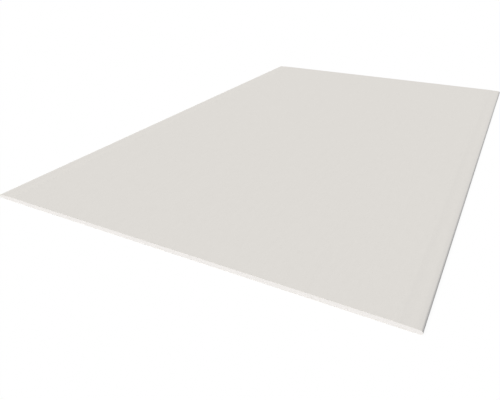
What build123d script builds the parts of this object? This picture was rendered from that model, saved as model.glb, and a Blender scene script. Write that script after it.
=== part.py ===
from build123d import *
import os
from math import acos, atan2, cos, degrees, radians, sin

# Drywall sheet with half-round tapered long edges and square-cut ends, lying on its back.
# X runs across the width, Y along the length, and Z up through the face that shows in a room.
# The origin is the centre of the back, on the floor.
#
# The sheet is three bonded pieces. The face paper lies over the core, goes round both long edges
# and folds a little way under the back. The back paper is laid on last and laps over those folds.
# The cut ends go straight through all three, so the core shows there.

# Driving dimensions, in millimetres
sheet_length = 2000.0
sheet_width = 1250.0
sheet_thickness = 12.5
paper_thickness = 0.4

# Tapered long edge. The taper's reach is measured inwards from the long edge.
taper_reach = 50.0
taper_depth = 0.9
crease_radius = 20.0
ledge_width = 3.0
shoulder_radius = 100.0
shoulder_drop = 0.85
heel_radius = 4.2

# Paper on the back. The fold's reach and the margin are measured inwards from the long edge too, and
# the back paper covers the end of the fold.
fold_reach = 30.0
back_margin = 18.0

# Levels and half sizes
half_width = sheet_width / 2
half_length = sheet_length / 2
wrap_level = paper_thickness
ledge_level = sheet_thickness - taper_depth

# The shoulder bends gently off the ledge. The nose carries on from it to the widest part of the
# edge, and the heel, a tighter bend, comes back under and ends level with the underside.
shoulder_turn = degrees(acos(1 - shoulder_drop / shoulder_radius))
shoulder_run = shoulder_radius * sin(radians(shoulder_turn))
nose_height = ledge_level - shoulder_drop - heel_radius - wrap_level
nose_radius = nose_height / cos(radians(shoulder_turn))
nose_run = nose_radius * (1 - sin(radians(shoulder_turn)))

# The face turns down at a tight crease, and comes level with the ledge through a wide hollow.
dip_run = taper_reach - ledge_width - shoulder_run - nose_run
dip_turn = 2 * degrees(atan2(taper_depth, dip_run))
hollow_radius = (dip_run**2 + taper_depth**2) / (2 * taper_depth) - crease_radius

# Section of the core inside its face paper, up to the paper's outer surface
with BuildSketch(Plane.XZ) as wrapped_section:
    with BuildLine():
        face = Line((0, sheet_thickness), (half_width - taper_reach, sheet_thickness))
        crease = JernArc(face @ 1, face % 1, crease_radius, -dip_turn)
        hollow = JernArc(crease @ 1, crease % 1, hollow_radius, dip_turn)
        ledge = PolarLine(hollow @ 1, ledge_width, direction=hollow % 1)
        shoulder = JernArc(ledge @ 1, ledge % 1, shoulder_radius, -shoulder_turn)
        nose = JernArc(shoulder @ 1, shoulder % 1, nose_radius, shoulder_turn - 90)
        heel = JernArc(nose @ 1, nose % 1, heel_radius, -90)
        Line(heel @ 1, (0, wrap_level))
        mirror(about=Plane.YZ)
    make_face()

# Gypsum core: one paper thickness inside the wrapped section, and full depth between the folds
with BuildPart() as gypsum_core:
    with BuildSketch(Plane.XZ) as core_section:
        add(wrapped_section.sketch_local)
        offset(amount=-paper_thickness)
        with Locations((0, wrap_level)):
            Rectangle(
                2 * (half_width - fold_reach),
                2 * paper_thickness,
                align=(Align.CENTER, Align.MIN),
            )
    extrude(amount=half_length, both=True)
gypsum_core.part.label = "gypsum_core"

# Face paper: what the core leaves of the wrapped section
with BuildPart() as face_paper:
    with BuildSketch(Plane.XZ):
        add(wrapped_section.sketch_local)
        add(core_section.sketch_local, mode=Mode.SUBTRACT)
    extrude(amount=half_length, both=True)
face_paper.part.label = "face_paper"

# Back paper: flat on the core's underside, lapped over the ends of both folds
with BuildPart() as back_paper:
    with BuildSketch(Plane.XY):
        Rectangle(2 * (half_width - back_margin), sheet_length)
    extrude(amount=paper_thickness)
back_paper.part.label = "back_paper"

os.makedirs("parts", exist_ok=True)
export_step(gypsum_core.part, "parts/gypsum_core.step")
export_step(face_paper.part, "parts/face_paper.step")
export_step(back_paper.part, "parts/back_paper.step")
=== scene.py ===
"""Drywall sheet lying on a pale studio floor.

The sheet is a gypsum core between two papers. The face paper goes round both long edges, which are
tapered and half round, and folds under the back, where the back paper laps over it. The two ends are
cut square, so the core shows there with its pores. Everything is in metres, with X across the sheet,
Y along it and Z up.
"""

from __future__ import annotations

import logging
import math
from abc import ABC, abstractmethod
from dataclasses import dataclass
from enum import Enum
from typing import Any, ClassVar

import bmesh
import bpy
from mathutils import Color, Matrix, Vector, noise


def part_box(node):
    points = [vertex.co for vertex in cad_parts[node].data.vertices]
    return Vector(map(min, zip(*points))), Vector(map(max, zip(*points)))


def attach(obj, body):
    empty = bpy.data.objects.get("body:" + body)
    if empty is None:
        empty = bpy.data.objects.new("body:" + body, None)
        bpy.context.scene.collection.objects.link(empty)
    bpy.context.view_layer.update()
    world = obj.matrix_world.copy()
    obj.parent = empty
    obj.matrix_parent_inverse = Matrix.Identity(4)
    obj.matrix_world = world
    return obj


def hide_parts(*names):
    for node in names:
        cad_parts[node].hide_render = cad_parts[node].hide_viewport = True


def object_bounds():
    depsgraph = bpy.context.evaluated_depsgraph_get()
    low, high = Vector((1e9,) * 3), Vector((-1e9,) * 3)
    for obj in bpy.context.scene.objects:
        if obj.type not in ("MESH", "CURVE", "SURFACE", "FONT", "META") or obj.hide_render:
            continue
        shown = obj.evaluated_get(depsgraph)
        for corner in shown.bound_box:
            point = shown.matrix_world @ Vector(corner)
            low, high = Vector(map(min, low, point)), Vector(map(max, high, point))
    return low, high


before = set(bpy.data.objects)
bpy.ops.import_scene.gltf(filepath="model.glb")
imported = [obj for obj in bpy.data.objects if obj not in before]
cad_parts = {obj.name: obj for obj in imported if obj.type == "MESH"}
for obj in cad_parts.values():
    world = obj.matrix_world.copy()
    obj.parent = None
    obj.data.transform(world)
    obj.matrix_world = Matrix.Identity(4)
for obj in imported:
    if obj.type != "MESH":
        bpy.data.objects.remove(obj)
cad_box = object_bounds()

MM = 0.001
TOUCH = 0.01 * MM  # Points as close as this count as one.
QUARTER_TURN = math.pi / 2
SHARP_CORNER = math.radians(40)  # Faces that meet at more than this meet in a sharp corner.
CUT_TILT = math.radians(60)  # A face of a cut end tips less than this from square.
BODY = "root"

Triple = tuple[float, float, float]
Colour = tuple[float, float, float, float]
Paint = Colour | bpy.types.NodeSocket
WHITE: Colour = (1.0, 1.0, 1.0, 1.0)

logging.basicConfig(level=logging.INFO, format="%(name)s: %(message)s")
log = logging.getLogger("drywall_sheet")


def mm(across: float, along: float, up: float) -> Triple:
    """Gives sizes along X, Y and Z that are written in millimetres."""
    return (across * MM, along * MM, up * MM)


def srgb(red: int, green: int, blue: int) -> Colour:
    """Gives a colour that is written in eight-bit sRGB as linear light, with an alpha of 1."""
    full = 255
    return (*Color((red / full, green / full, blue / full)).from_srgb_to_scene_linear(), 1.0)


def grey(level: float) -> Colour:
    """Gives a grey of a linear level."""
    return (level, level, level, 1.0)


class CutEnd(Enum):
    """The two square-cut ends of the sheet, by the way each faces along Y."""

    NEAR = -1
    FAR = 1


class Ray(Enum):
    """The kinds of ray to which the floor and the sky look plain white."""

    CAMERA = "Is Camera Ray"
    GLOSSY = "Is Glossy Ray"
    TRANSMISSION = "Is Transmission Ray"


@dataclass(frozen=True)
class Grain:
    """A cloudy pattern.

    Attributes:
        cell: The size of one of its cells along X, Y and Z.
        detail: How many finer layers are added.
        roughness: How strong the finer layers are.
    """

    cell: Triple
    detail: float
    roughness: float = 0.5


@dataclass(frozen=True)
class Scatter:
    """Marks strewn over a surface, at most one to a cell.

    Attributes:
        cell: The size of one cell along X, Y and Z.
        size: A mark's half width, in cells.
    """

    cell: Triple
    size: float

    @property
    def width(self) -> float:
        """A mark's width along X."""
        return 2 * self.size * self.cell[0]

    @property
    def solid(self) -> float:
        """The half width of a mark's solid middle, in cells."""
        return self.size / 2


@dataclass(frozen=True)
class Value:
    """A number that changes over a surface, on which Python's operators add Math nodes.

    Attributes:
        nodes: The tree that the nodes are added to.
        socket: The output that gives the number.
    """

    nodes: NodeTree
    socket: bpy.types.NodeSocket

    def _math(self, operation: str, first: Value | float, second: Value | float) -> Value:
        """Adds one Math node and gives its result."""
        made = self.nodes.node("Math", {"operation": operation}, {"Value": first, "Value_001": second})
        return Value(self.nodes, made.outputs["Value"])

    def __add__(self, other: Value | float) -> Value:
        """Adds a value or a number."""
        return self._math("ADD", self, other)

    def __radd__(self, other: float) -> Value:
        """Adds this value to a number."""
        return self._math("ADD", other, self)

    def __sub__(self, other: Value | float) -> Value:
        """Takes a value or a number away."""
        return self._math("SUBTRACT", self, other)

    def __rsub__(self, other: float) -> Value:
        """Takes this value away from a number."""
        return self._math("SUBTRACT", other, self)

    def __mul__(self, other: Value | float) -> Value:
        """Multiplies by a value or a number."""
        return self._math("MULTIPLY", self, other)

    def __rmul__(self, other: float) -> Value:
        """Multiplies a number by this value."""
        return self._math("MULTIPLY", other, self)

    def __or__(self, other: Value | float) -> Value:
        """Gives the larger of this value and another, or a number."""
        return self._math("MAXIMUM", self, other)

    def __ror__(self, other: float) -> Value:
        """Gives the larger of a number and this value."""
        return self._math("MAXIMUM", other, self)


class NodeTree:
    """Adds nodes to one shader tree.

    Attributes:
        tree: The shader tree.
        chance_edge: How far over its share a cell's mark still shows in part.
    """

    chance_edge: ClassVar[float] = 0.02

    def __init__(self, tree: bpy.types.NodeTree) -> None:
        """Starts with an empty tree."""
        self.tree = tree
        tree.nodes.clear()

    def node(
        self, kind: str, settings: dict[str, Any] | None = None, inputs: dict[str, Any] | None = None
    ) -> bpy.types.Node:
        """Adds a node, sets it up and feeds its sockets.

        Args:
            kind: The node's type, without its ShaderNode prefix.
            settings: The node's own properties, which are set first.
            inputs: A value or a link for each socket, by its name or its identifier.

        Returns:
            The new node.
        """
        made = self.tree.nodes.new(f"ShaderNode{kind}")
        for name, setting in (settings or {}).items():
            setattr(made, name, setting)
        for name, given in (inputs or {}).items():
            socket = next(s for s in made.inputs if s.enabled and name in (s.name, s.identifier))
            if isinstance(given, Value):
                given = given.socket
            if isinstance(given, bpy.types.NodeSocket):
                self.tree.links.new(given, socket)
            else:
                socket.default_value = given
        return made

    def places(self, cell: Triple, turn: float = 0.0) -> bpy.types.NodeSocket:
        """Gives Object coordinates, turned about Z and then measured in cells.

        Args:
            cell: The size of one of the pattern's cells along X, Y and Z.
            turn: The pattern's turn about Z, in radians.

        Returns:
            The coordinates' socket.
        """
        here = self.node("TexCoord").outputs["Object"]
        inputs = {"Vector": here, "Rotation": (0, 0, turn), "Scale": cell}
        return self.node("Mapping", {"vector_type": "TEXTURE"}, inputs).outputs["Vector"]

    def cloud(self, grain: Grain) -> Value:
        """Adds a Noise texture.

        Args:
            grain: The pattern's cell and detail.

        Returns:
            A value that lies about 0.5.
        """
        inputs = {
            "Vector": self.places(grain.cell),
            "Scale": 1.0,
            "Detail": grain.detail,
            "Roughness": grain.roughness,
        }
        made = self.node("TexNoise", {"noise_dimensions": "3D"}, inputs)
        return Value(self, made.outputs["Fac"])

    def between(self, given: Value, low: float, high: float) -> Value:
        """Gives a mask that rises smoothly from 0 at low to 1 at high.

        Args:
            given: The value to read.
            low: Where the mask is 0.
            high: Where the mask is 1. It may be under low, and the mask then falls.

        Returns:
            The mask.
        """
        inputs = {"Value": given, "From Min": low, "From Max": high}
        made = self.node("MapRange", {"interpolation_type": "SMOOTHSTEP"}, inputs)
        return Value(self, made.outputs["Result"])

    def marks(self, scatter: Scatter, share: float, turn: float = 0.0) -> Value:
        """Gives a mask of scattered marks, each about the middle of a cell.

        Args:
            scatter: The marks' spacing and size.
            share: The share of cells that hold one.
            turn: The pattern's turn about Z, in radians.

        Returns:
            The mask.
        """
        places = self.places(scatter.cell, turn)
        cells = self.node("TexVoronoi", {"feature": "F1"}, {"Vector": places, "Scale": 1.0})
        chance = self.node("SeparateColor", None, {"Color": cells.outputs["Color"]}).outputs["Red"]
        near = self.between(Value(self, cells.outputs["Distance"]), scatter.size, scatter.solid)
        return near * self.between(Value(self, chance), share + self.chance_edge, share)

    def mixed(self, factor: Value, base: Paint, other: Paint) -> bpy.types.NodeSocket:
        """Lays one colour over another.

        Args:
            factor: How much of the other colour shows.
            base: The colour below, as a colour or a link.
            other: The colour above, as a colour or a link.

        Returns:
            The mixed colour's socket.
        """
        inputs = {"Factor_Float": factor, "A_Color": base, "B_Color": other}
        made = self.node("Mix", {"data_type": "RGBA", "blend_type": "MIX"}, inputs)
        return next(s for s in made.outputs if s.identifier == "Result_Color")

    def seen_directly(self) -> Value:
        """Gives a mask of the rays to which the floor and the sky are plain white.

        Returns:
            The mask.
        """
        path = self.node("LightPath")
        camera, glossy, transmission = (Value(self, path.outputs[ray.value]) for ray in Ray)
        return camera | glossy | transmission

    def dull_surface(
        self, colour: bpy.types.NodeSocket, roughness: Value | float, shine: float, height: Value
    ) -> None:
        """Ends the tree in a matt surface.

        Args:
            colour: The colour's socket.
            roughness: The roughness.
            shine: The strength of its reflections.
            height: Its relief, in metres.
        """
        bump = self.node("Bump", None, {"Strength": 1.0, "Distance": 1.0, "Height": height})
        inputs = {
            "Base Color": colour,
            "Roughness": roughness,
            "Specular IOR Level": shine,
            "Normal": bump.outputs["Normal"],
        }
        surface = self.node("BsdfPrincipled", None, inputs)
        self.node("OutputMaterial", None, {"Surface": surface.outputs["BSDF"]})


def new_material(name: str) -> tuple[bpy.types.Material, NodeTree]:
    """Makes a material with an empty node tree.

    Args:
        name: The material's name.

    Returns:
        The material and its tree.
    """
    material = bpy.data.materials.new(name)
    material.use_nodes = True
    return material, NodeTree(material.node_tree)


@dataclass(frozen=True)
class PaperFinish:
    """Matt board paper: cloudy formation, streaks along the machine's run, fibres and specks.

    Attributes:
        name: The material's name.
        tone: The paper's own colour.
        dark_fibre: The colour of its darker fibres and specks.
        pale_fibre: The colour of its paler fibres.
        cloud_depth: How far the formation darkens and lightens the tone, as a share.
        fibre_share: The share of cells that hold a fibre.
        fibre_cover: How much of its own colour a fibre shows.
        speck_share: The share of cells that hold a speck.
        roughness: The surface's roughness, at its mean.
        tooth: The height of the surface's fine tooth.
        formation: The clouds of its formation.
        streaks: The streaks along the machine's run.
        teeth: The pattern of the fine tooth.
        fibres: The spacing and size of its fibres.
        specks: The spacing and size of its specks.
        dark_turns: The ways that its darker fibres lie, in radians.
        pale_turns: The ways that its paler fibres lie, in radians.
        streak_share: The streaks' share of the formation.
        shade_range: Where the formation is at its darkest and at its lightest.
        roughness_swing: How far the roughness changes over the surface.
        shine: The strength of its reflections.
    """

    name: str
    tone: Colour
    dark_fibre: Colour
    pale_fibre: Colour
    cloud_depth: float
    fibre_share: float
    fibre_cover: float
    speck_share: float
    roughness: float
    tooth: float

    formation: ClassVar[Grain] = Grain(cell=mm(14, 38, 14), detail=3.0)
    streaks: ClassVar[Grain] = Grain(cell=mm(4.2, 450, 4.2), detail=1.0)
    teeth: ClassVar[Grain] = Grain(cell=mm(0.7, 1.4, 0.7), detail=2.0, roughness=0.6)
    fibres: ClassVar[Scatter] = Scatter(cell=mm(1.2, 4.8, 1.2), size=0.22)
    specks: ClassVar[Scatter] = Scatter(cell=mm(6.7, 6.7, 6.7), size=0.09)
    dark_turns: ClassVar[tuple[float, ...]] = (0.3, -1.15)
    pale_turns: ClassVar[tuple[float, ...]] = (-0.45, 0.95)
    streak_share: ClassVar[float] = 0.4
    shade_range: ClassVar[tuple[float, float]] = (0.3, 0.7)
    roughness_swing: ClassVar[float] = 0.08
    shine: ClassVar[float] = 0.05

    def shaded(self, change: float) -> Colour:
        """Gives the tone, lighter by a share or, where that is negative, darker."""
        red, green, blue = (min(1.0, part * (1 + change)) for part in self.tone[:3])
        return (red, green, blue, 1.0)

    def material(self) -> bpy.types.Material:
        """Makes the paper's material.

        Returns:
            The material.
        """
        material, nodes = new_material(self.name)
        streaks = nodes.cloud(self.streaks)
        teeth = nodes.cloud(self.teeth)
        clouds = (1 - self.streak_share) * nodes.cloud(self.formation) + self.streak_share * streaks
        shade = nodes.between(clouds, *self.shade_range)
        colour = nodes.mixed(shade, self.shaded(-self.cloud_depth), self.shaded(self.cloud_depth))
        for fibre, turns in ((self.dark_fibre, self.dark_turns), (self.pale_fibre, self.pale_turns)):
            for turn in turns:
                fibres = nodes.marks(self.fibres, self.fibre_share, turn)
                colour = nodes.mixed(self.fibre_cover * fibres, colour, fibre)
        colour = nodes.mixed(nodes.marks(self.specks, self.speck_share), colour, self.dark_fibre)
        roughness = self.roughness - self.roughness_swing / 2 + self.roughness_swing * teeth
        nodes.dull_surface(colour, roughness, self.shine, self.tooth * (teeth + streaks))
        return material


@dataclass(frozen=True)
class GypsumFinish:
    """Set gypsum where it is cut: off-white, mealy and dull, with fine and wider air pores, painted darker
    inside as shade.

    Attributes:
        name: The material's name.
        tone: The colour of most of the core.
        shade: The colour of its denser patches.
        hollow: The painted shade inside a pore, darker than the core's own colour.
        roughness: The surface's roughness.
        meal: The height of the finest grains.
        pore_share: The share of cells that hold a pore.
        pore_shade_cover: How strongly a pore shows that painted shade.
        pore_depth: A pore's depth, as a share of its width.
        patches: The pattern of the denser patches.
        grains: The pattern of the finest grains.
        fine_pores: The spacing and size of the fine pores.
        wide_pores: The spacing and size of the wider pores.
        patch_range: Where a patch starts, and where it is at its densest.
        shine: The strength of its reflections.
    """

    name: str
    tone: Colour
    shade: Colour
    hollow: Colour
    roughness: float
    meal: float
    pore_share: float
    pore_shade_cover: float
    pore_depth: float

    patches: ClassVar[Grain] = Grain(cell=mm(11, 11, 6), detail=4.0)
    grains: ClassVar[Grain] = Grain(cell=mm(0.4, 0.4, 0.4), detail=2.0, roughness=0.65)
    fine_pores: ClassVar[Scatter] = Scatter(cell=mm(1.1, 1.1, 1.1), size=0.3)
    wide_pores: ClassVar[Scatter] = Scatter(cell=mm(3, 3, 3), size=0.3)
    patch_range: ClassVar[tuple[float, float]] = (0.42, 0.68)
    shine: ClassVar[float] = 0.1

    def material(self) -> bpy.types.Material:
        """Makes the core's material.

        Returns:
            The material.
        """
        material, nodes = new_material(self.name)
        patches = nodes.between(nodes.cloud(self.patches), *self.patch_range)
        colour = nodes.mixed(patches, self.tone, self.shade)
        height = self.meal * nodes.cloud(self.grains)
        for kind in (self.fine_pores, self.wide_pores):
            pores = nodes.marks(kind, self.pore_share)
            # Each pore is painted darker inside as shade, on top of its bump.
            colour = nodes.mixed(self.pore_shade_cover * pores, colour, self.hollow)
            height = height - self.pore_depth * kind.width * pores
        nodes.dull_surface(colour, self.roughness, self.shine, height)
        return material


FACE_FINISH = PaperFinish(
    name="face_liner_paper",
    tone=srgb(222, 219, 214),
    dark_fibre=srgb(190, 183, 173),
    pale_fibre=srgb(240, 239, 236),
    cloud_depth=0.007,
    fibre_share=0.4,
    fibre_cover=0.45,
    speck_share=0.12,
    roughness=0.88,
    tooth=0.03 * MM,
)
BACK_FINISH = PaperFinish(
    name="back_liner_paper",
    tone=srgb(193, 184, 170),
    dark_fibre=srgb(132, 119, 101),
    pale_fibre=srgb(224, 217, 205),
    cloud_depth=0.035,
    fibre_share=0.55,
    fibre_cover=0.45,
    speck_share=0.3,
    roughness=0.93,
    tooth=0.04 * MM,
)
PLY_FINISH = PaperFinish(
    name="cut_paper_plies",
    tone=srgb(222, 218, 211),
    dark_fibre=srgb(184, 176, 164),
    pale_fibre=srgb(238, 236, 231),
    cloud_depth=0.03,
    fibre_share=0.5,
    fibre_cover=0.4,
    speck_share=0.1,
    roughness=0.96,
    tooth=0.03 * MM,
)
CORE_FINISH = GypsumFinish(
    name="cut_gypsum",
    tone=srgb(239, 237, 237),
    shade=srgb(236, 234, 233),
    # Painted shade inside the pores, not the gypsum's own colour.
    hollow=srgb(206, 202, 197),
    roughness=0.95,
    meal=0.02 * MM,
    pore_share=0.35,
    pore_shade_cover=0.35,
    pore_depth=0.09,
)


@dataclass(frozen=True)
class SheetSection:
    """The sheet's section across its width, and its half length.

    Attributes:
        half_width: From the middle to a long edge.
        half_length: From the middle to a cut end.
        thickness: Through both papers and the core.
        paper: The thickness of either paper.
        back_margin: From a long edge in to where the back paper starts.
        taper_reach: From a long edge in to where the face starts to dip.
        taper_depth: How far the face dips.
        crease_radius: The tight bend where the dip starts.
        ledge_width: The level stretch between the dip and the shoulder.
        shoulder_radius: The gentle bend from the ledge to the nose.
        shoulder_drop: How far the shoulder falls.
        heel_radius: The tighter bend from the widest part of the edge to the underside.
        fold_reach: From a long edge in to where the folded face paper ends.
    """

    half_width: float
    half_length: float
    thickness: float
    paper: float
    back_margin: float
    taper_reach: float = 50.0 * MM
    taper_depth: float = 0.9 * MM
    crease_radius: float = 20.0 * MM
    ledge_width: float = 3.0 * MM
    shoulder_radius: float = 100.0 * MM
    shoulder_drop: float = 0.85 * MM
    heel_radius: float = 4.2 * MM
    fold_reach: float = 30.0 * MM

    @property
    def flat_run(self) -> float:
        """From the middle to where the face starts to dip."""
        return self.half_width - self.taper_reach

    @property
    def shoulder_turn(self) -> float:
        """How far the shoulder turns."""
        return math.acos(1 - self.shoulder_drop / self.shoulder_radius)

    @property
    def nose_turn(self) -> float:
        """How far the nose turns, from the shoulder to the widest part of the edge."""
        return QUARTER_TURN - self.shoulder_turn

    @property
    def nose_radius(self) -> float:
        """The radius of the nose."""
        height = self.thickness - self.taper_depth - self.shoulder_drop - self.heel_radius - self.paper
        return height / math.cos(self.shoulder_turn)

    @property
    def shoulder_run(self) -> float:
        """The width of the shoulder."""
        return self.shoulder_radius * math.sin(self.shoulder_turn)

    @property
    def nose_run(self) -> float:
        """The width of the nose."""
        return self.nose_radius * (1 - math.sin(self.shoulder_turn))

    @property
    def dip_run(self) -> float:
        """The width of the dip."""
        return self.taper_reach - self.ledge_width - self.shoulder_run - self.nose_run

    @property
    def dip_turn(self) -> float:
        """How far the face turns down at the crease, and up again through the hollow."""
        return 2 * math.atan2(self.taper_depth, self.dip_run)

    @property
    def hollow_radius(self) -> float:
        """The radius of the hollow between the crease and the ledge."""
        return (self.dip_run**2 + self.taper_depth**2) / (2 * self.taper_depth) - self.crease_radius

    @property
    def fold_run(self) -> float:
        """The level stretch of the fold, from the heel in to its end."""
        return self.fold_reach - self.heel_radius


class SectionPen:
    """Draws a line of edges in the XZ plane by extruding and spinning its last vertex.

    Attributes:
        bm: The mesh that it draws in.
        tip: The line's last vertex.
        heading: How far the line has turned to the right from +X, in radians.
    """

    def __init__(self, bm: bmesh.types.BMesh, start: Triple) -> None:
        """Sets the pen down, heading along +X.

        Args:
            bm: The mesh to draw in.
            start: Where the line starts.
        """
        self.bm = bm
        self.tip = bm.verts.new(start)
        self.heading = 0.0

    def _ahead(self, turn: float = 0.0) -> Vector:
        """Gives the direction that lies a turn to the right of the pen's heading."""
        angle = self.heading + turn
        return Vector((math.cos(angle), 0, -math.sin(angle)))

    def turn(self, angle: float) -> None:
        """Turns on the spot, to the right where the angle is positive."""
        self.heading += angle

    def line(self, length: float, steps: int) -> None:
        """Draws straight ahead.

        Args:
            length: The line's length.
            steps: How many edges it has.
        """
        start = self.tip.co.copy()
        for step in range(1, steps + 1):
            self.tip = bmesh.ops.extrude_vert_indiv(self.bm, verts=[self.tip])["verts"][0]
            self.tip.co = start + self._ahead() * (length * step / steps)

    def arc(self, radius: float, angle: float, steps: int) -> None:
        """Draws a bend that carries on from the heading.

        Args:
            radius: The bend's radius.
            angle: How far it turns, to the right where positive.
            steps: How many edges it has.
        """
        centre = self.tip.co + self._ahead(math.copysign(QUARTER_TURN, angle)) * radius
        made = bmesh.ops.spin(
            self.bm, geom=[self.tip], cent=centre, axis=(0, 1, 0), dvec=(0, 0, 0), angle=angle, steps=steps
        )
        self.tip = made["geom_last"][0]
        self.heading += angle


@dataclass(frozen=True)
class CutRelief:
    """How the knife and the gypsum's own pores leave a cut end.

    Attributes:
        recess: How far the core stands back from the papers' edges.
        swell: The height of the cut's slow waves.
        swell_length: The length of those waves.
        crumb: The height of the crumbs.
        crumb_size: The size of the crumbs.
        pore_depth: The depth of the largest pores.
        pore_spacing: The distance between pores.
        fray: How far a paper's edge frays.
        fray_length: The length of one fray.
        least_pore: The smallest pore's half width, as a share of the spacing.
        pore_growth: What the largest pores add to that share.
        pore_seed: What sets the pores' sizes apart.
        fray_layers: How many layers of noise a fray has.
        fray_floor: The level of that noise up to which an edge stays whole.
    """

    recess: float = 0.05 * MM
    swell: float = 0.08 * MM
    swell_length: float = 17.0 * MM
    crumb: float = 0.05 * MM
    crumb_size: float = 1.7 * MM
    pore_depth: float = 0.3 * MM
    pore_spacing: float = 5.0 * MM
    fray: float = 0.10 * MM
    fray_length: float = 2.6 * MM

    least_pore: ClassVar[float] = 0.04
    pore_growth: ClassVar[float] = 0.22
    pore_seed: ClassVar[float] = 17.3
    fray_layers: ClassVar[int] = 3
    fray_floor: ClassVar[float] = 0.1

    @staticmethod
    def wave(place: Vector) -> float:
        """Gives a smooth noise from 0 to 1, one wave to a unit of the place."""
        return (1 + noise.noise(place)) / 2

    def swell_at(self, place: Vector) -> float:
        """Gives how far the cut lies back at a place, before crumbs and pores."""
        return self.recess + self.swell * self.wave(place / self.swell_length)

    def pore_at(self, place: Vector) -> float:
        """Gives the depth of the pore at a place.

        Args:
            place: A point of the cut end.

        Returns:
            The depth, which is 0 outside the pores.
        """
        away, middles = noise.voronoi(place / self.pore_spacing)
        size = self.least_pore + self.pore_growth * abs(noise.noise(middles[0] * self.pore_seed))
        inside = max(0.0, 1 - (away[0] / size) ** 2)
        return self.pore_depth * math.sqrt(inside) * size / (self.least_pore + self.pore_growth)

    def core_depth(self, place: Vector) -> float:
        """Gives how far the core lies back inside its rim."""
        return self.swell_at(place) + self.crumb * self.wave(place / self.crumb_size) + self.pore_at(place)

    def fray_depth(self, place: Vector) -> float:
        """Gives how far a paper's edge lies back."""
        frayed = noise.turbulence(place / self.fray_length, self.fray_layers, False)
        return self.fray * max(0.0, frayed - self.fray_floor)


def looks_along(face: bmesh.types.BMFace) -> bool:
    """Tells whether a face looks along the sheet, as those of a cut end do."""
    return abs(face.normal.y) > math.cos(CUT_TILT)


def add_object(name: str, bm: bmesh.types.BMesh, materials: list[bpy.types.Material]) -> bpy.types.Object:
    """Makes an object of a finished mesh, at the origin, smooth but for its corners.

    Args:
        name: The object's name.
        bm: The mesh, which is freed.
        materials: The materials of its slots.

    Returns:
        The object.
    """
    mesh = bpy.data.meshes.new(name)
    for face in bm.faces:
        face.smooth = True
    bm.to_mesh(mesh)
    bm.free()
    mesh.set_sharp_from_angle(angle=SHARP_CORNER)
    for material in materials:
        mesh.materials.append(material)
    made = bpy.data.objects.new(name, mesh)
    bpy.context.scene.collection.objects.link(made)
    return made


def mirror_across(bm: bmesh.types.BMesh) -> None:
    """Adds the other half of a section that is drawn from the middle to the right."""
    drawn = bm.verts[:] + bm.edges[:]
    bmesh.ops.mirror(bm, geom=drawn, matrix=Matrix.Identity(4), axis="X", merge_dist=TOUCH)


@dataclass(frozen=True)
class BendSteps:
    """How many edges each bend of a long edge's upper side has.

    Attributes:
        crease: The edges of the crease.
        hollow: The edges of the hollow.
        shoulder: The edges of the shoulder.
        nose: The edges of the nose.
    """

    crease: int
    hollow: int
    shoulder: int
    nose: int


@dataclass
class SheetPiece(ABC):
    """One bonded piece of the sheet.

    Attributes:
        section: The sheet's sizes.
        relief: How its cut ends are left.
        pitch: The distance between vertices on the straight stretches of its section.
        name: The piece's own name.
        node: The node that it replaces.
        slot: The name meant for its material slot, which nothing reads.
    """

    section: SheetSection
    relief: CutRelief
    pitch: float

    name: ClassVar[str]
    node: ClassVar[str]
    slot: ClassVar[str]

    @abstractmethod
    def mesh(self) -> bmesh.types.BMesh:
        """Models the piece."""

    @abstractmethod
    def finishes(self) -> list[bpy.types.Material]:
        """Makes the materials of its slots."""

    def steps(self, length: float) -> int:
        """Gives how many edges a stretch of the section has."""
        return max(1, round(length / self.pitch))

    def pen(self, bm: bmesh.types.BMesh, level: float) -> SectionPen:
        """Sets a pen down at the near end, over the middle of the sheet's width."""
        return SectionPen(bm, (0, -self.section.half_length, level))

    def draw_top(self, bm: bmesh.types.BMesh, inset: float, bends: BendSteps) -> SectionPen:
        """Draws the right half of the sheet's upper side, to the widest part of the long edge.

        Args:
            bm: The mesh to draw in.
            inset: How far the line lies inside the sheet's outer surface.
            bends: How many edges each bend has.

        Returns:
            The pen, where it came to.
        """
        sheet = self.section
        pen = self.pen(bm, sheet.thickness - inset)
        pen.line(sheet.flat_run, self.steps(sheet.flat_run))
        pen.arc(sheet.crease_radius - inset, sheet.dip_turn, bends.crease)
        pen.arc(sheet.hollow_radius + inset, -sheet.dip_turn, bends.hollow)
        pen.line(sheet.ledge_width, self.steps(sheet.ledge_width))
        pen.arc(sheet.shoulder_radius - inset, sheet.shoulder_turn, bends.shoulder)
        pen.arc(sheet.nose_radius - inset, sheet.nose_turn, bends.nose)
        return pen

    def build(self) -> bpy.types.Object:
        """Models the piece, dresses it and sets it in the frame.

        Returns:
            The finished object.
        """
        made = add_object(self.name, self.mesh(), self.finishes())
        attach(made, BODY)
        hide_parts(self.node)
        return made


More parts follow.
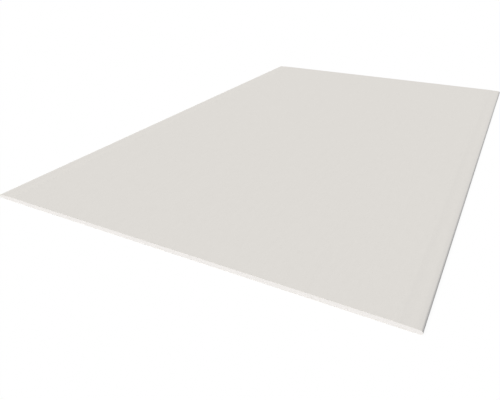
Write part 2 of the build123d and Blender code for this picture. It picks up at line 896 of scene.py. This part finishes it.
@dataclass
class GypsumCore(SheetPiece):
    """The core, whose cut ends are finely divided and pitted.

    Attributes:
        pitch: The distance between vertices on a cut end.
        nose_steps: The edges of the nose.
        heel_steps: The edges of the heel.
    """

    pitch: float = 0.65 * MM
    nose_steps: int = 10
    heel_steps: int = 8

    name: ClassVar[str] = "plaster_core"
    node: ClassVar[str] = "gypsum_core"
    slot: ClassVar[str] = "gypsum"

    @property
    def bends(self) -> BendSteps:
        """How many edges each bend has."""
        sheet = self.section
        return BendSteps(
            crease=self.steps(sheet.crease_radius * sheet.dip_turn),
            hollow=self.steps(sheet.hollow_radius * sheet.dip_turn),
            shoulder=self.steps(sheet.shoulder_radius * sheet.shoulder_turn),
            nose=self.nose_steps,
        )

    def draw_underside(self, bm: bmesh.types.BMesh, edges: int) -> None:
        """Draws the right half of the core's underside, over the fold, to its widest part.

        Args:
            bm: The mesh to draw in.
            edges: How many edges the line has, to match the upper side.
        """
        sheet = self.section
        fold_steps = self.steps(sheet.fold_run)
        rise_steps = 1
        flat_steps = edges - rise_steps - fold_steps - self.heel_steps
        pen = self.pen(bm, sheet.paper)
        pen.line(sheet.half_width - sheet.fold_reach, flat_steps)
        pen.turn(-QUARTER_TURN)
        pen.line(sheet.paper, rise_steps)
        pen.turn(QUARTER_TURN)
        pen.line(sheet.fold_run, fold_steps)
        pen.arc(sheet.heel_radius - sheet.paper, -QUARTER_TURN, self.heel_steps)

    def pit_ends(self, bm: bmesh.types.BMesh) -> None:
        """Sets each cut end back by its relief.

        Args:
            bm: The core's mesh, with flat ends.
        """
        for end in CutEnd:
            for vert in [vert for vert in bm.verts if vert.co.y * end.value > 0]:
                inside = all(looks_along(face) for face in vert.link_faces)
                depth = self.relief.core_depth(vert.co) if inside else self.relief.swell_at(vert.co)
                vert.co.y -= end.value * depth

    def mesh(self) -> bmesh.types.BMesh:
        """Models the core: one end's grid, drawn out along the sheet and pitted at both ends.

        Returns:
            The core's mesh.
        """
        sheet = self.section
        bm = bmesh.new()
        self.draw_top(bm, inset=sheet.paper, bends=self.bends)
        self.draw_underside(bm, edges=len(bm.edges))
        mirror_across(bm)
        uprights = bmesh.ops.bridge_loops(bm, edges=bm.edges[:])["edges"]
        rows = self.steps(sheet.thickness - 2 * sheet.paper)
        bmesh.ops.subdivide_edges(bm, edges=uprights, cuts=rows - 1, use_grid_fill=True)
        bmesh.ops.remove_doubles(bm, verts=bm.verts[:], dist=TOUCH)
        drawn_out = bmesh.ops.extrude_face_region(bm, geom=bm.faces[:])["geom"]
        far_end = [item for item in drawn_out if isinstance(item, bmesh.types.BMVert)]
        bmesh.ops.translate(bm, vec=(0, 2 * sheet.half_length, 0), verts=far_end)
        bmesh.ops.recalc_face_normals(bm, faces=bm.faces[:])
        self.pit_ends(bm)
        return bm

    def finishes(self) -> list[bpy.types.Material]:
        """Makes the core's material."""
        return [CORE_FINISH.material()]


@dataclass
class PaperWeb(SheetPiece):
    """A paper that runs the sheet's length, frayed a little where it is cut.

    Attributes:
        pitch: The width of a column of faces.
        row: The length of a row of faces.
        end_row: The length of the row beside each cut.
        fray_cuts: How many more vertices each column has on the cut itself.
        finish: The paper's own finish.
        outward: The way that its outer side faces, in the middle of the sheet.
    """

    pitch: float = 10.0 * MM
    row: float = 100.0 * MM
    end_row: float = 3.0 * MM
    fray_cuts: int = 9

    finish: ClassVar[PaperFinish]
    outward: ClassVar[Vector]

    @abstractmethod
    def draw(self, bm: bmesh.types.BMesh) -> None:
        """Draws the right half of the paper's outer side at the near end."""

    def run_out(self, bm: bmesh.types.BMesh) -> None:
        """Draws the near end's line out along the sheet, row by row.

        Args:
            bm: The mesh, which holds the line alone.
        """
        middle = 2 * (self.section.half_length - self.end_row)
        rows = round(middle / self.row)
        line = bm.edges[:]
        for length in [self.end_row, *[middle / rows] * rows, self.end_row]:
            made = bmesh.ops.extrude_edge_only(bm, edges=line)["geom"]
            line = [item for item in made if isinstance(item, bmesh.types.BMEdge)]
            verts = [item for item in made if isinstance(item, bmesh.types.BMVert)]
            bmesh.ops.translate(bm, vec=(0, length, 0), verts=verts)

    def fray_ends(self, bm: bmesh.types.BMesh) -> None:
        """Divides each cut edge finely and frays it.

        Args:
            bm: The paper's outer side.
        """
        half = self.section.half_length

        def on_cut(vert: bmesh.types.BMVert) -> bool:
            """Tells whether a vertex lies on a cut."""
            return abs(abs(vert.co.y) - half) < TOUCH

        cuts = [edge for edge in bm.edges if all(on_cut(vert) for vert in edge.verts)]
        wide = [edge for edge in cuts if edge.calc_length() > self.pitch / 2]
        bmesh.ops.subdivide_edges(bm, edges=wide, cuts=self.fray_cuts, use_single_edge=True)
        for vert in bm.verts:
            if on_cut(vert):
                vert.co.y -= math.copysign(self.relief.fray_depth(vert.co), vert.co.y)

    def mesh(self) -> bmesh.types.BMesh:
        """Models the paper: its outer side run out along the sheet, and then its thickness.

        Returns:
            The paper's mesh, with the plies of its cut edges in slot 1.
        """
        bm = bmesh.new()
        self.draw(bm)
        mirror_across(bm)
        self.run_out(bm)
        self.fray_ends(bm)
        bmesh.ops.recalc_face_normals(bm, faces=bm.faces[:])
        middle = min(bm.faces, key=lambda face: abs(face.calc_center_median().x))
        if middle.normal.dot(self.outward) < 0:
            bmesh.ops.reverse_faces(bm, faces=bm.faces[:])
        outer = set(bm.faces)
        bmesh.ops.solidify(bm, geom=bm.faces[:], thickness=self.section.paper)
        for face in bm.faces:
            face.material_index = int(face not in outer and looks_along(face))
        return bm

    def finishes(self) -> list[bpy.types.Material]:
        """Makes the paper's material and that of its cut plies."""
        return [self.finish.material(), PLY_FINISH.material()]


@dataclass
class FacePaper(PaperWeb):
    """The face paper, over the face and round both long edges to its folds.

    Attributes:
        bends: How many edges each bend has.
        heel_steps: The edges of the heel.
    """

    bends: BendSteps = BendSteps(crease=3, hollow=14, shoulder=8, nose=16)
    heel_steps: int = 12

    name: ClassVar[str] = "face_liner"
    node: ClassVar[str] = "face_paper"
    slot: ClassVar[str] = "face_liner"
    finish: ClassVar[PaperFinish] = FACE_FINISH
    outward: ClassVar[Vector] = Vector((0, 0, 1))

    def draw(self, bm: bmesh.types.BMesh) -> None:
        """Draws the right half of the paper's outer side at the near end.

        Args:
            bm: The mesh to draw in.
        """
        sheet = self.section
        pen = self.draw_top(bm, inset=0.0, bends=self.bends)
        pen.arc(sheet.heel_radius, QUARTER_TURN, self.heel_steps)
        pen.line(sheet.fold_run, self.steps(sheet.fold_run))


@dataclass
class BackPaper(PaperWeb):
    """The back paper, flat under the core and lapped over both folds."""

    name: ClassVar[str] = "back_liner"
    node: ClassVar[str] = "back_paper"
    slot: ClassVar[str] = "back_liner"
    finish: ClassVar[PaperFinish] = BACK_FINISH
    outward: ClassVar[Vector] = Vector((0, 0, -1))

    def draw(self, bm: bmesh.types.BMesh) -> None:
        """Draws the right half of the paper's underside at the near end.

        Args:
            bm: The mesh to draw in.
        """
        half = self.section.half_width - self.section.back_margin
        self.pen(bm, level=0.0).line(half, self.steps(half))


@dataclass(frozen=True)
class Studio:
    """A pale floor, one broad lamp, an even sky and the camera.

    Attributes:
        floor_half: Half the floor's width.
        floor_drop: How far the floor lies under the sheet, so that the two don't touch.
        floor_bounce: The share of light that the floor throws back.
        floor_glow: The share of the floor's white that stays in the sheet's shadow.
        sky: The sky's light, which is a little cool.
        key: The lamp's strength on a surface that faces it, where 1 shows a colour as written.
        key_tint: The lamp's tint, which is as warm as the sky is cool.
        key_from: The direction that the lamp shines from.
        key_spread: The lamp's width, in degrees.
        eye: The camera's place.
        eye_turn: How far the camera turns left from +Y, in degrees.
        eye_dip: How far it looks down, in degrees.
        lens: Its focal length, in millimetres.
        sensor: Its sensor's width, in millimetres.
    """

    floor_half: float = 40.0
    floor_drop: float = 0.1 * MM
    floor_bounce: float = 0.32
    floor_glow: float = 0.94
    sky: Colour = (0.4868, 0.4994, 0.5358, 1.0)
    key: float = 0.8355
    key_tint: Triple = (1.03, 1.0, 0.93)
    key_from: Triple = (-0.359, -0.718, 0.596)
    key_spread: float = 20.0
    eye: Triple = (0.67040, -1.80076, 0.68179)
    eye_turn: float = 28.3293
    eye_dip: float = 27.6437
    lens: float = 35.1151
    sensor: float = 36.0

    def floor_material(self) -> bpy.types.Material:
        """Makes the floor's material, which is white to the camera apart from the sheet's shadow.

        Returns:
            The material.
        """
        material, nodes = new_material("studio_floor")
        bounce = nodes.node("BsdfDiffuse", None, {"Color": grey(self.floor_bounce)}).outputs["BSDF"]
        white = nodes.node("BsdfDiffuse", None, {"Color": WHITE}).outputs["BSDF"]
        glow = nodes.node("Emission", None, {"Color": WHITE, "Strength": 1.0}).outputs["Emission"]
        shown = nodes.node("MixShader", None, {"Fac": self.floor_glow, "Shader": white, "Shader_001": glow})
        surface = nodes.node(
            "MixShader",
            None,
            {"Fac": nodes.seen_directly(), "Shader": bounce, "Shader_001": shown.outputs["Shader"]},
        )
        nodes.node("OutputMaterial", None, {"Surface": surface.outputs["Shader"]})
        return material

    def add_floor(self) -> None:
        """Lays the floor."""
        bm = bmesh.new()
        bmesh.ops.create_grid(bm, x_segments=1, y_segments=1, size=self.floor_half)
        bmesh.ops.translate(bm, vec=(0, 0, -self.floor_drop), verts=bm.verts[:])
        floor = add_object("studio_floor", bm, [self.floor_material()])

    def add_sky(self) -> None:
        """Sets an even sky, which is white to the camera."""
        world = bpy.data.worlds.new("studio_sky")
        world.use_nodes = True
        nodes = NodeTree(world.node_tree)
        colour = nodes.mixed(nodes.seen_directly(), self.sky, WHITE)
        light = nodes.node("Background", None, {"Color": colour, "Strength": 1.0})
        nodes.node("OutputWorld", None, {"Surface": light.outputs["Background"]})
        bpy.context.scene.world = world

    def add_key(self) -> None:
        """Hangs the lamp."""
        lamp = bpy.data.lights.new("key_lamp", "SUN")
        lamp.energy = self.key * math.pi
        lamp.color = self.key_tint
        lamp.angle = math.radians(self.key_spread)
        made = bpy.data.objects.new("key_lamp", lamp)
        made.rotation_euler = Vector(self.key_from).to_track_quat("Z", "Y").to_euler()
        bpy.context.scene.collection.objects.link(made)

    def add_camera(self) -> None:
        """Sets up the camera."""
        data = bpy.data.cameras.new("camera")
        data.lens = self.lens
        data.sensor_fit = "HORIZONTAL"
        data.sensor_width = self.sensor
        camera = bpy.data.objects.new("camera", data)
        camera.location = self.eye
        camera.rotation_euler = (QUARTER_TURN - math.radians(self.eye_dip), 0, math.radians(self.eye_turn))
        bpy.context.scene.collection.objects.link(camera)
        bpy.context.scene.camera = camera

    def build(self) -> None:
        """Sets up the whole studio."""
        self.add_floor()
        self.add_sky()
        self.add_key()
        self.add_camera()
        bpy.context.scene.view_settings.view_transform = "Standard"


def measured_section() -> SheetSection:
    """Reads the sheet's main sizes from the frame.

    Returns:
        The section, with the sizes of its edges as they are formed.
    """
    low, high = cad_box
    back_low, back_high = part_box(BackPaper.node)
    return SheetSection(
        half_width=high.x,
        half_length=high.y,
        thickness=high.z - low.z,
        paper=back_high.z - back_low.z,
        back_margin=high.x - back_high.x,
    )


def triangle_count(piece: bpy.types.Object) -> int:
    """Gives how many triangles a piece's mesh comes to."""
    piece.data.calc_loop_triangles()
    return len(piece.data.loop_triangles)


def main() -> None:
    """Builds the sheet's pieces in order and reports each, then sets up the studio."""
    section = measured_section()
    relief = CutRelief()
    for piece in (GypsumCore(section, relief), FacePaper(section, relief), BackPaper(section, relief)):
        made = piece.build()
        log.info("%s stands for %s: %d triangles", made.name, piece.node, triangle_count(made))
    Studio().build()


if __name__ == "__main__":
    main()
